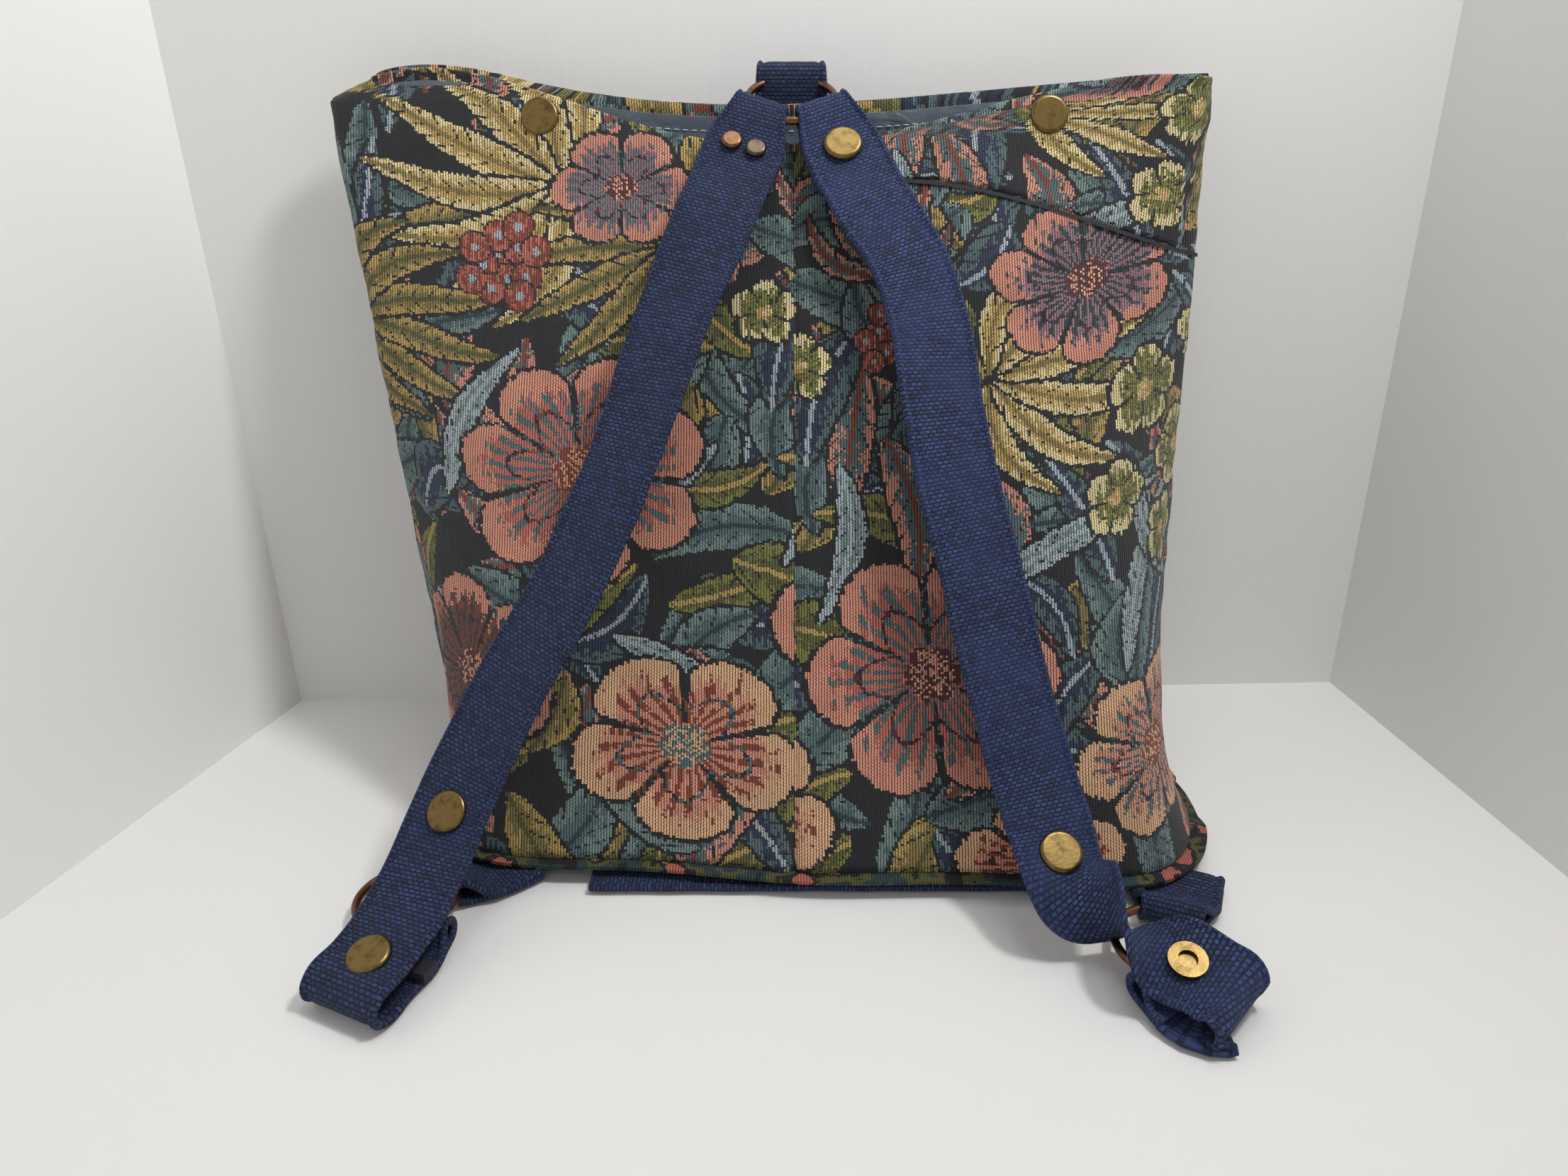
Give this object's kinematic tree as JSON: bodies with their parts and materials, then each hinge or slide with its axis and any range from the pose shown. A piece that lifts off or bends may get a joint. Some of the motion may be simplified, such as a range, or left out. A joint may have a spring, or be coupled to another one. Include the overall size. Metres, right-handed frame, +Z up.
{
  "type": "tote backpack",
  "caption": "Soft tapestry tote backpack with a snap-closed mouth, navy webbing straps hung from a metal ring, and base rings that tie the straps down",
  "frame": {"origin": "middle of the flat face that the bag stands on, in the plane of the floor", "axes": "+X along the width of the mouth towards the right strap as seen from the strap side, +Y from the strap side to the rear wall, +Z up"},
  "size_m": [0.355, 0.2491, 0.2847],
  "materials": {
    "tapestry": "woven tapestry cloth with floral pattern, matte",
    "lining_nylon": "thin plain woven nylon, slight sheen",
    "navy_webbing": "coarse basket-woven cotton webbing, matte",
    "dark_binding": "folded dark cloth binding, matte",
    "copper_wire": "antique copper plated wire, polished by wear",
    "antique_brass": "antique brass plated, satin",
    "copper_rivet": "antique copper plated, satin"
  },
  "bodies": {
    "bag": {"base_panel": "tapestry", "base_tab_left": "navy_webbing", "base_tab_right": "navy_webbing", "base_webbing": "navy_webbing", "face_panel_left": "tapestry", "face_panel_right": "tapestry", "lap_piping": "dark_binding", "left_lower_snap_cap": "antique_brass", "left_lower_snap_socket": "antique_brass", "left_strap": "navy_webbing", "left_strap_binding": "dark_binding", "left_upper_snap_cap": "antique_brass", "left_upper_snap_stud": "antique_brass", "lining_base": "lining_nylon", "lining_front": "lining_nylon", "lining_rear": "lining_nylon", "mouth_snap_left_back_cap": "antique_brass", "mouth_snap_left_cap": "antique_brass", "mouth_snap_left_socket": "antique_brass", "mouth_snap_left_stud": "antique_brass", "mouth_snap_right_back_cap": "antique_brass", "mouth_snap_right_cap": "antique_brass", "mouth_snap_right_socket": "antique_brass", "mouth_snap_right_stud": "antique_brass", "pocket_lap": "tapestry", "rear_panel": "tapestry", "right_end_snap_cap": "antique_brass", "right_end_snap_socket": "antique_brass", "right_lower_snap_cap": "antique_brass", "right_lower_snap_stud": "antique_brass", "right_strap": "navy_webbing", "right_top_snap_cap": "antique_brass", "right_top_snap_socket": "antique_brass", "rivet_head_1": "copper_rivet", "rivet_head_2": "copper_rivet", "rivet_tail_1": "copper_rivet", "rivet_tail_2": "copper_rivet", "top_tab": "navy_webbing"},
    "top_ring_body": {"top_ring": "copper_wire"},
    "base_ring_left_body": {"base_ring_left": "copper_wire"},
    "base_ring_right_body": {"base_ring_right": "copper_wire"}
  },
  "joints": [
    {"name": "top_ring_spin", "type": "hinge", "parent": "bag", "child": "top_ring_body", "pos_m": [-0.001, 0.0945, 0.2695], "axis": [0, -0.454, 0.891], "continuous": true},
    {"name": "base_ring_left_spin", "type": "hinge", "parent": "bag", "child": "base_ring_left_body", "pos_m": [-0.139, -0.066, 0.0056], "axis": [0, 0, 1], "continuous": true},
    {"name": "base_ring_right_spin", "type": "hinge", "parent": "bag", "child": "base_ring_right_body", "pos_m": [0.126, -0.0886, 0.0056], "axis": [0, 0, 1], "continuous": true}
  ]
}
